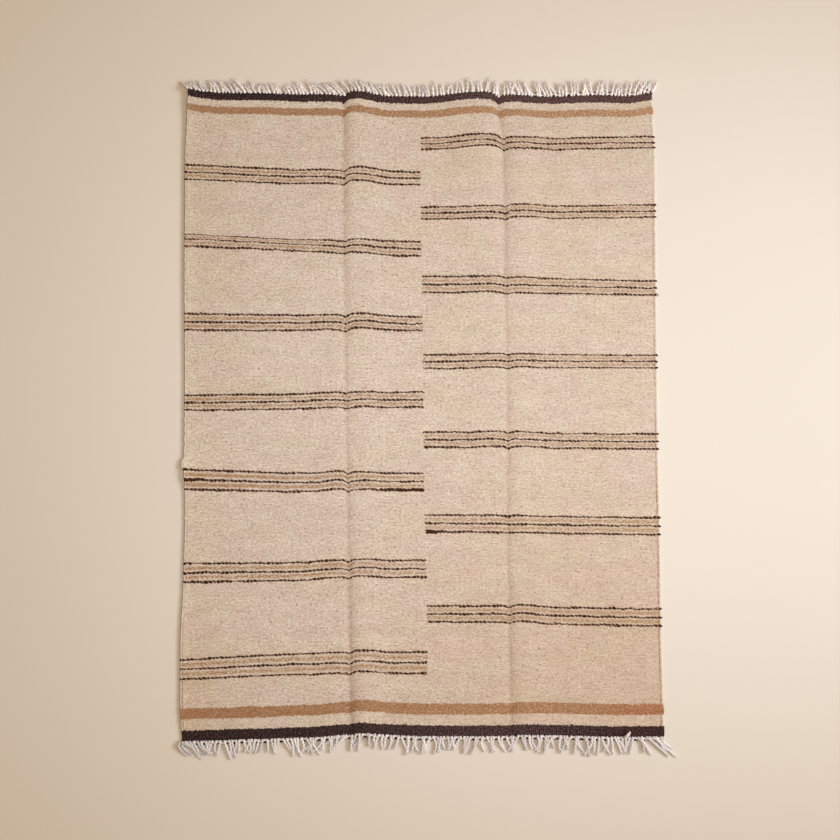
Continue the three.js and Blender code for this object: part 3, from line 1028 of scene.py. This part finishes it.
def turn_path(outward, y, out, climb, scatter):
    """Half a turn round the rim of a selvedge, from below upward."""
    half = "left" if outward < 0 else "right"
    rim_x = outward * (WIDTH / 2 + eased(SELVEDGES, "y", half, y))
    turn = np.linspace(-math.pi / 2, math.pi / 2, TURN.rings)
    x = rim_x + outward * (np.cos(turn) * (out + TURN.depth) - TURN.depth)
    bottom = lift_at(rim_x, y) + TURN.radius
    z = bottom + (THICKNESS - TURN.radius) * (1 + np.sin(turn)) / 2
    return np.stack([x, y + scatter + climb * turn, z], axis=-1)


def make_weft_turns(name):
    """Dark wefts that turn round the selvedges where their lines end."""
    rng = np.random.default_rng(SEEDS.turns)
    tubes = Tubes()
    for half, outward in (("left", -1), ("right", 1)):
        groups = stripe_lines(half, np.array([outward * WIDTH / 2]))
        for group, (middle, gap, skew) in enumerate(groups):
            for line in (-1, 0, 1):
                y = middle + line * gap + (line == 0) * skew
                kind = TURN
                if (half, group, line) == LOOSE_TURN.at:
                    kind, out = LOOSE_TURN, LOOSE_TURN.out
                else:
                    out = rng.uniform(*TURN.outs) + TURN.shift * outward
                path = turn_path(outward, y, out, kind.climb, rng.normal(0, TURN.scatter))
                tubes.add(path, kind.radius, YARN_SIDES, rng.uniform(0, 1))
    return tubes.build(name)


# Materials


class Field:
    """A value of a node tree that is added to, subtracted, multiplied and divided like a number."""

    def __init__(self, shader, socket):
        self.math = shader.math
        self.socket = socket

    def __add__(self, other):
        return self.math("ADD", self, other)

    def __sub__(self, other):
        return self.math("SUBTRACT", self, other)

    def __rsub__(self, other):
        return self.math("SUBTRACT", other, self)

    def __mul__(self, other):
        return self.math("MULTIPLY", self, other)

    def __truediv__(self, other):
        return self.math("DIVIDE", self, other)

    __radd__ = __add__
    __rmul__ = __mul__


class Shader:
    """A material's node tree, written as expressions over its values."""

    def __init__(self, name):
        self.material = bpy.data.materials.new(name)
        self.material.use_nodes = True
        self.tree = self.material.node_tree
        self.surface = self.tree.nodes["Principled BSDF"]

    def put(self, socket, value):
        if isinstance(value, Field):
            self.tree.links.new(value.socket, socket)
        elif socket.type == "RGBA":
            socket.default_value = (*value, 1)
        else:
            socket.default_value = value

    def node(self, kind, inputs, output=0, **settings):
        """One output of a new node with the given settings and inputs."""
        node = self.tree.nodes.new(f"ShaderNode{kind}")
        for key, value in settings.items():
            setattr(node, key, value)
        for key, value in inputs.items():
            self.put(node.inputs[key], value)
        return Field(self, node.outputs[output])

    def math(self, operation, *values):
        return self.node("Math", dict(enumerate(values)), operation=operation)

    def fade(self, value, low, high, least=0, most=1):
        """A smooth change from least at the low end to most at the high end."""
        inputs = {"Value": value, "From Min": low, "From Max": high, "To Min": least, "To Max": most}
        return self.node("MapRange", inputs, interpolation_type="SMOOTHSTEP")

    def span(self, name, value, **ends):
        """The smooth change of a named span, with the ends that its row leaves open."""
        return self.fade(value, **SPANS[name], **ends)

    def vector(self, x, y, z):
        return self.node("CombineXYZ", dict(X=x, Y=y, Z=z))

    def attribute(self, name):
        """The three numbers of a vector attribute."""
        parts = self.tree.nodes.new("ShaderNodeSeparateXYZ")
        self.put(parts.inputs[0], self.node("Attribute", {}, "Vector", attribute_name=name))
        return [Field(self, part) for part in parts.outputs]

    def noise(self, place, detail=2, roughness=ROUGHNESS):
        inputs = dict(Vector=place, Scale=1, Detail=detail, Roughness=roughness)
        return self.node("TexNoise", inputs, "Fac")

    def speck(self, scale):
        """A noise over the object's own place, of the given number of features a metre."""
        place = self.node("TexCoord", {}, "Object")
        return self.noise(self.brighten(place, scale))

    def choose(self, share, first, second):
        """First where the share is 0, second where it is 1, for numbers."""
        return self.node("Mix", {0: share, 2: first, 3: second}, data_type="FLOAT")

    def blend(self, share, first, second, how="MIX"):
        """First where the share is 0, second where it is 1, for colours."""
        return self.node("Mix", {0: share, 6: first, 7: second}, 2, data_type="RGBA", blend_type=how)

    def brighten(self, colour, factor):
        """A colour times a number."""
        return self.node("VectorMath", {0: colour, "Scale": factor}, operation="SCALE")

    def tint(self, colour, factors):
        """A colour times a factor for each of its parts."""
        return self.node("VectorMath", {0: colour, 1: factors}, operation="MULTIPLY")

    def shade(self, colour, factor):
        """A wool colour darkened towards brown or lightened towards white by a factor round 1."""
        return self.tint(colour, self.vector(*(weighted(factor, weight) for weight in GRAIN_TINT)))

    def coat(self, colour, finish, height=None):
        """Gives the surface its colour, a named finish and the relief of a height."""
        finish = FINISHES[finish]
        self.put(self.surface.inputs["Base Color"], colour)
        self.surface.inputs["Roughness"].default_value = finish.roughness
        self.surface.inputs["Specular IOR Level"].default_value = finish.specular
        self.surface.inputs["Sheen Weight"].default_value = finish.sheen
        if height is not None:
            relief = self.node("Bump", dict(Strength=1, Distance=finish.relief * MM, Height=height))
            self.put(self.surface.inputs["Normal"], relief)
        return self.material


class Weave(Shader):
    """The cloth's material, which knows each point's place across and along the weave."""

    def __init__(self, name):
        super().__init__(name)
        self.across, self.along, self.painted_crease_shade = self.attribute("weave")

    def patches(self, name, across=None, along=None):
        """A named noise over the weave, or over other values."""
        row = NOISES[name]
        across = self.across if across is None else across
        along = self.along if along is None else along
        place = self.vector(across / row.width, along / row.height, row.layer)
        return self.noise(place, row.detail, row.get("roughness", ROUGHNESS))

    def spread(self, name, **place):
        """A named noise times its amount."""
        return self.patches(name, **place) * NOISES[name].amount

    def swing(self, name, **place):
        """A named noise times its amount, round zero."""
        return self.spread(name, **place) - NOISES[name].amount / 2

    def spots(self, name, **place):
        """A named noise, through the span of the same name."""
        return self.span(name, self.patches(name, **place))


def around(noise, amount):
    """A factor that swings round 1 with a noise."""
    return (noise - NOISE_MIDDLE) * amount + 1


def weighted(factor, weight):
    """A factor that counts only by its weight, and is 1 without any."""
    return factor * weight + (1 - weight)


def cream_base(s):
    """Undyed wool, in a colour that drifts over the cloth and darkens towards the bottom, with pinkish and
    yellowish patches.
    """
    rightward = s.span("rightward", s.across)
    upper = s.blend(rightward, CREAMS.top_left, CREAMS.top_right)
    lower = s.blend(rightward, CREAMS.bottom_left, CREAMS.bottom_right)
    colour = s.blend(s.span("downward", s.along), upper, lower)
    margin = s.span("margin", s.across)
    patches = [
        (s.spots("pink"), PINK_TINT),
        (s.spots("yellow"), YELLOW_TINT),
        (margin, MARGIN_TINT),
        (margin * s.span("upper_margin", s.along), UPPER_MARGIN_TINT),
        (margin * s.span("lower_margin", s.along), LOWER_MARGIN_TINT),
    ]
    for share, factors in patches:
        colour = s.blend(share, colour, factors, "MULTIPLY")
    return colour


def cream_ground(s, grain):
    """The cream wool with its streaks, hairs, flecks and yarn-to-yarn change, and soft patches of painted
    shade.
    """
    factor = around(grain, s.span("ground_grain", s.across))
    # the cloud noise is painted shade, standing in for small puckers
    for name in ("streak", "lot", "cloud"):
        factor = factor * (1 + s.swing(name))
    for name in ("hair", "fleck"):
        factor = factor * (1 - s.spots(name) * NOISES[name].amount)
    return s.shade(cream_base(s), factor)


def stripe_group(s):
    """The group of stripes that each point is nearest to: its count, gap and tan."""
    left, right, past_break = s.attribute("groups")
    left_gap, right_gap, blob = s.attribute("gaps")
    left_tan, right_tan, _ = s.attribute("tans")
    on_right = s.math("GREATER_THAN", past_break + s.swing("ends", across=0), 0)
    return Row(
        on_right=on_right,
        past_break=past_break,
        blob=blob,
        count=s.choose(on_right, left, right),
        gap=s.choose(on_right, left_gap, right_gap),
        tan=s.choose(on_right, left_tan, right_tan),
    )


def stripe_line(s, group):
    """The line of a group that each point is nearest to, counted in half gaps from the middle one.
    Dark lines have even counts and tan ones odd counts."""
    phase = (s.across / (2 * WARP_PITCH) + s.spread("jitter")) * (2 * math.pi)
    wobble = s.swing("slow") + s.swing("quick") + s.math("COSINE", phase) * DASHES.wobble
    half_gap = group.gap / 2
    place = (group.count - s.math("ROUND", group.count)) / (GROUP_HALF / 2) + wobble / half_gap
    line = s.math("ROUND", place)
    upper, middle, lower = s.attribute("tones")
    tone = s.choose(s.math("LESS_THAN", line, -HALFWAY), middle, upper)
    size = s.math("ABSOLUTE", line)
    return Row(
        off=s.math("ABSOLUTE", (place - line) * half_gap),
        within=s.math("LESS_THAN", size, LAST_LINE + HALFWAY),
        odd=s.math("MODULO", size, 2),
        tone=s.choose(s.math("GREATER_THAN", line, HALFWAY), tone, lower),
        dash=s.span("dash", s.math("SINE", phase)),
    )


def stripe_layers(s):
    """How much of the dark and of the tan lines shows, and how deep the dark dashes are."""
    group = stripe_group(s)
    line = stripe_line(s, group)
    on_right, gap, blob = group.on_right, group.gap, group.blob
    off, tone, dash = line.off, line.tone, line.dash
    even = 1 - line.odd
    joined = s.spots("joined")
    reach = DASHES.reach + dash * DASHES.dash_reach + s.swing("swell")
    reach = reach * s.span("joined_reach", joined) * weighted(tone, DASHES.tone_reach)
    tip = s.span("tip", s.math("ABSOLUTE", group.past_break))
    reach = reach + blob * s.spots("lump") * tip
    bundle = s.span("bundle", blob)
    solid = s.choose(bundle, weighted(dash, DASHES.dash_cover), 1)
    dark = s.span("core", off - reach) * line.within * even * solid
    tan_reach = gap * s.choose(on_right, *TAN_REACHES)
    soft = s.fade(off, TAN_CORE, tan_reach, 1, 0)
    warmth = s.spots("warmth", along=group.count)
    strength = s.span("mark_strength", s.spots("mark")) * s.span("warmth_strength", warmth)
    strength = s.math("MINIMUM", strength * group.tan, 1)
    halo = s.span("halo", off - reach) * tone * even
    tan = line.within * (soft * line.odd * strength + halo)
    depth = weighted(dash, DASHES.dash_depth) * s.span("joined_depth", joined) * tone
    return dark, tan, s.choose(bundle, depth, DASHES.bundle_depth)


def band_layers(s):
    """Dark and tan bands at both ends, with an edge that steps from warp to warp."""
    from_top, from_bottom, _ = s.attribute("rims")
    waver = s.swing("waver") + s.swing("tooth") + s.swing("drift")
    dark, tan = 0, 0
    for distance, bands in ((from_top, TOP_BANDS), (from_bottom, BOTTOM_BANDS)):
        past_dark = distance + waver - bands.dark
        past_cream = past_dark - bands.cream
        past_tan = past_cream - bands.tan
        dark = dark + s.span("dark_end", past_dark)
        tan = tan + s.span("tan_start", past_cream) * s.span("tan_end", past_tan)
    return dark, tan


def selvedge_layers(s):
    """A brown thread beside the right edge and a dotted one on the left, the pale rim outside both,
    partly the selvedge's own pale colour and partly painted light, and painted shade on the rim of the
    left edge."""
    _, _, from_side = s.attribute("rims")
    on_right = s.math("GREATER_THAN", s.across, 0)
    thread_off = s.math("ABSOLUTE", from_side - s.choose(on_right, *THREAD_INSETS))
    left_strength = s.span("left_thread", s.along)
    right_strength = s.span("right_thread", s.along, most=s.span("right_thread_top", s.along))
    strength = s.choose(on_right, left_strength, right_strength)
    strength = strength * s.spots("thread_stretch", across=s.along, along=on_right)
    dotted = s.spots("thread_dot", across=s.along, along=on_right)
    brown = s.span("thread", thread_off) * weighted(dotted, THREAD_DOTS) * strength
    pale_reach = s.choose(on_right, *PALE_REACHES)
    pale = s.fade(from_side, PALE_CORE, pale_reach, s.choose(on_right, *PALE_SHARES), 0)
    return brown, pale, s.span("shaded_rim", from_side) * (1 - on_right)


def weave_height(s):
    """Rounded picks, each over one warp and under the next."""
    pick = s.along / PICK_PITCH
    row = s.math("FLOOR", pick)
    turn = s.across / (2 * WARP_PITCH) + s.math("MODULO", row, 2) / 2
    over = s.math("SINE", turn * (2 * math.pi))
    bulge = s.math("SINE", (pick - row) * math.pi)
    return over * RELIEF.over + bulge * RELIEF.pick + s.spread("lumps")


def band_wools(s, grain_factor):
    """The dark and the tan wool of the bands, worn paler to the right and redder in the corner there."""
    speck = s.patches("speck")
    worn = s.span("worn", s.across, most=s.span("worn_along", s.along))
    faded = s.span("faded", s.across, most=s.span("faded_along", s.along)) * worn
    tan = s.blend(s.spots("rust") * s.span("rust_along", s.along), TAN, RUST)
    tan = s.blend(s.span("tan_speck", speck + faded / 2), tan, TAN_LIGHT)
    rib = s.math("SINE", s.across * (2 * math.pi / WARP_PITCH)) * RELIEF.band_rib
    dark = s.blend(s.span("dark_speck", speck + faded + rib), BAND_DARK, BAND_FLECK)
    corner = s.span("corner_across", s.across) * s.span("corner_along", s.along)
    wools = (dark, s.shade(tan, grain_factor))
    return [s.blend(corner, wool, CORNER_TINT, "MULTIPLY") for wool in wools]


def cloth_material():
    s = Weave("kilim_weave")
    grain = s.patches("grain")
    grain_factor = around(grain, NOISES.grain.amount)
    dark, tan, depth = stripe_layers(s)
    band_dark, band_tan = band_layers(s)
    selvedge_brown, selvedge_pale, selvedge_shaded = selvedge_layers(s)
    dark_wool, tan_wool = band_wools(s, grain_factor)
    stripe_tan = s.blend(s.span("stripe_tan", s.across), STRIPE_TAN, STRIPE_TAN_RIGHT)
    layers = [
        (tan, s.shade(stripe_tan, grain_factor)),
        # pale rim: partly the selvedge's own pale colour, partly painted light
        (selvedge_pale, SELVEDGE_PALE),
        (selvedge_brown, SELVEDGE_BROWN),
        # painted shade on the rim of the left edge
        (selvedge_shaded, BROWN),
        (dark, s.blend(depth, BROWN, CHARCOAL)),
        (band_tan, tan_wool),
        (band_dark, dark_wool),
    ]
    colour = cream_ground(s, grain)
    for share, over in layers:
        colour = s.blend(share, colour, over)
    # painted shade along the creases
    colour = s.shade(colour, 1 - s.painted_crease_shade * FOLD_SHADE)
    return s.coat(colour, "wool", weave_height(s))


def dark_wool_material():
    s = Shader("dark_wool")
    tint, _, _ = s.attribute("yarn")
    speck = s.speck(SPECKS.dark_wool)
    share = s.span("yarn_speck", speck) * s.span("yarn_tint", tint)
    return s.coat(s.blend(share, BAND_DARK, BAND_FLECK), "dark_wool", speck)


def cotton_material():
    s = Shader("cotton_yarn")
    tint, _, _ = s.attribute("yarn")
    speck = s.speck(SPECKS.cotton)
    factor = around(speck, COTTON_SPECK) * (tint * COTTON_TINT.per_tint + COTTON_TINT.base)
    return s.coat(s.brighten(COTTON, factor), "cotton", speck)


def floor_material():
    s = Shader("pale_floor")
    factor = around(s.speck(SPECKS.floor), FLOOR_CLOUD)
    return s.coat(s.brighten(FLOOR, factor), "floor")


# Stage, light and camera


def make_floor():
    signs = ((-1, -1), (1, -1), (1, 1), (-1, 1))
    corners = [(x * FLOOR_HALF, y * FLOOR_HALF, FLOOR_HEIGHT) for x, y in signs]
    floor = new_object("floor", corners, [[0, 1, 2, 3]])
    floor.data.materials.append(floor_material())
    floor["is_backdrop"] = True


def make_lamp(name, lamp):
    light = bpy.data.lights.new(name, lamp.kind)
    light.energy = lamp.power
    light.color = lamp.colour
    if lamp.kind == "SPOT":
        light.shadow_soft_size = lamp.size
        light.spot_size = math.radians(lamp.angle)
        light.spot_blend = 1.0
    else:
        light.shape = "SQUARE"
        light.size = lamp.size
    obj = bpy.data.objects.new(name, light)
    obj.location = lamp.place
    aim = Vector(lamp.aim) - Vector(lamp.place)
    obj.rotation_euler = aim.to_track_quat("-Z", "Y").to_euler()
    bpy.context.collection.objects.link(obj)


def make_light():
    for name, lamp in LAMPS.items():
        make_lamp(name, lamp)
    world = bpy.data.worlds.new("soft_surround")
    world.use_nodes = True
    background = world.node_tree.nodes["Background"]
    background.inputs["Color"].default_value = (*SURROUND, 1)
    background.inputs["Strength"].default_value = 1.0
    bpy.context.scene.world = world
    bpy.context.scene.view_settings.view_transform = "Standard"


def make_camera():
    tilt = math.radians(VIEW_TILT)
    camera = bpy.data.cameras.new("camera")
    camera.lens = LENS
    camera.sensor_width = SENSOR
    obj = bpy.data.objects.new("camera", camera)
    x, y = VIEW_CENTRE
    obj.location = (x * MM, (y - VIEW_DISTANCE * math.sin(tilt)) * MM, VIEW_DISTANCE * math.cos(tilt) * MM)
    obj.rotation_euler = (tilt, 0, 0)
    bpy.context.collection.objects.link(obj)
    bpy.context.scene.camera = obj


def place_piece(obj, material, node=None):
    obj.data.materials.append(material)
    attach(obj, BODY)
    if node:
        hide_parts(node)


make_camera()
make_light()
make_floor()
cotton = cotton_material()
dark_wool = dark_wool_material()
cloth = make_cloth()
fringe_top = make_fringe("fringe_top_yarns", TOP_FRINGE, SEEDS.top)
fringe_bottom = make_fringe("fringe_bottom_yarns", BOTTOM_FRINGE, SEEDS.bottom, STRAYS)
header_top = make_header("last_wefts_and_shade_top", TOP_FRINGE)
header_bottom = make_header("last_wefts_and_shade_bottom", BOTTOM_FRINGE)
weft_turns = make_weft_turns("weft_turns")
place_piece(cloth, cloth_material(), "cloth")
place_piece(fringe_top, cotton, "fringe_top")
place_piece(fringe_bottom, cotton, "fringe_bottom")
for piece in (header_top, header_bottom, weft_turns):
    place_piece(piece, dark_wool)

boxes = [[list(map(float, corner)) for corner in box] for box in (CAD_BOX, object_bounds())]
dict(cad=boxes[0], visual=boxes[1])
